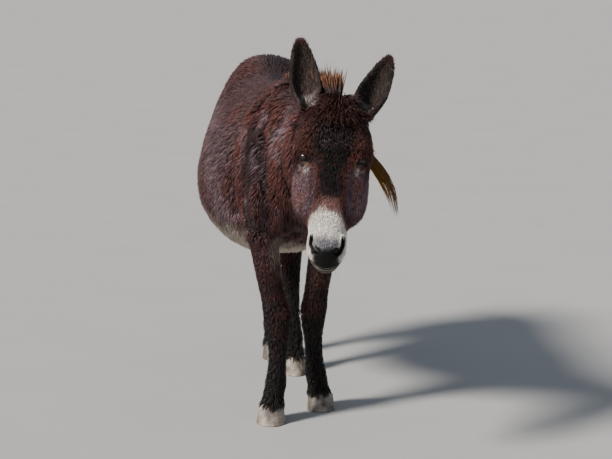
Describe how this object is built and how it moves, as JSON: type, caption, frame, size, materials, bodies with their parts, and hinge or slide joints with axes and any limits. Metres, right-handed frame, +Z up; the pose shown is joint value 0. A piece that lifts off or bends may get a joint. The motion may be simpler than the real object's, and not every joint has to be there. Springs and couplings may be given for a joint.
{
  "type": "donkey",
  "caption": "Life-size standing donkey in a shaggy brown winter coat, walking pose, head turned forward, long ears up, tail swung to its left.",
  "frame": {"origin": "on the floor under the middle of the whole animal's box", "axes": "+Z up, +Y from the muzzle towards the tail, +X towards the animal's left"},
  "size_m": [0.7758, 1.7828, 1.2608],
  "materials": {
    "coat": "shaggy chocolate-brown winter hair with a soft sheen",
    "mane_hair": "stiff reddish-brown hair with golden tips",
    "tail_hair": "long reddish-brown hair with golden strands",
    "eye": "wet dark brown, almost black",
    "hoof_horn": "pale cream-grey horn with darker patches"
  },
  "bodies": {
    "root": {"trunk": "coat", "leg_fore_right": "coat", "hoof_fore_right": "hoof_horn", "leg_fore_left": "coat", "hoof_fore_left": "hoof_horn", "leg_hind_right": "coat", "hoof_hind_right": "hoof_horn", "leg_hind_left": "coat", "hoof_hind_left": "hoof_horn", "neck": "coat", "head": "coat", "eye_right": "eye", "eye_left": "eye", "ear_right": "coat", "ear_left": "coat", "mane": "mane_hair", "tail_dock": "coat", "tail_switch": "tail_hair"}
  },
  "joints": []
}
